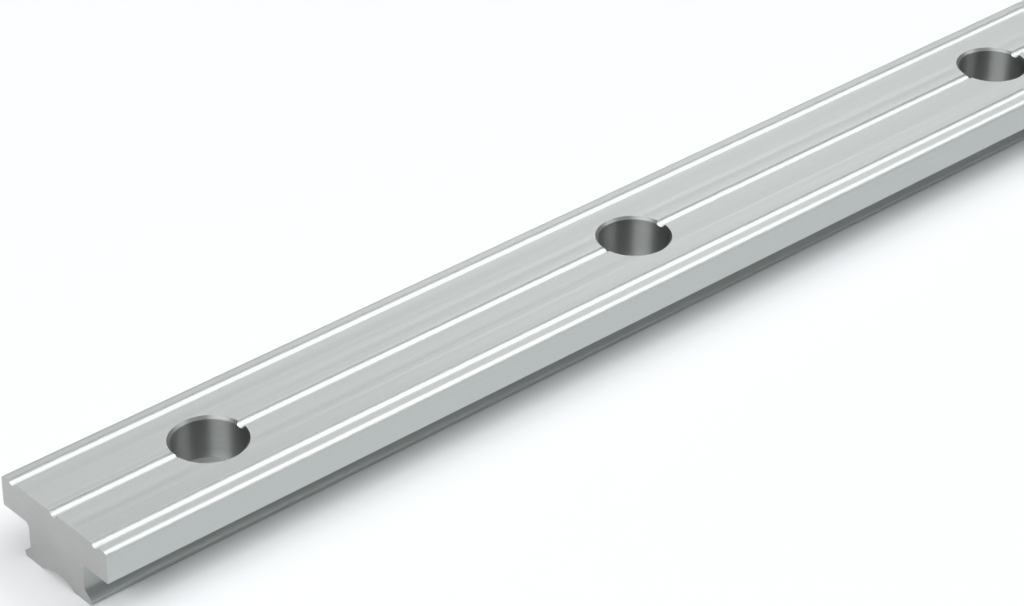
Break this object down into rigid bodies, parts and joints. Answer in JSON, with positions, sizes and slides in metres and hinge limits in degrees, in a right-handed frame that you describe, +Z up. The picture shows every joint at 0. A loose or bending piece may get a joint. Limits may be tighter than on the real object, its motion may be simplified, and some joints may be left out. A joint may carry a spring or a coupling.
{
  "type": "sail track section",
  "caption": "Length of low I-section aluminium track for a ball bearing sail car, with fluted top, flared feet and a row of counterbored screw holes.",
  "frame": {"origin": "centre of the bounding box's bottom: on the deck plane, midway along and across the track", "axes": "+X along the track away from the pictured sawn end, +Y to the far side, +Z up from the deck"},
  "size_m": [1, 0.03, 0.014],
  "materials": {
    "anodised_aluminium": "satin silver anodised, with fine lengthwise die lines, and square sawn ends"
  },
  "bodies": {
    "root": {"track": "anodised_aluminium"}
  },
  "joints": []
}
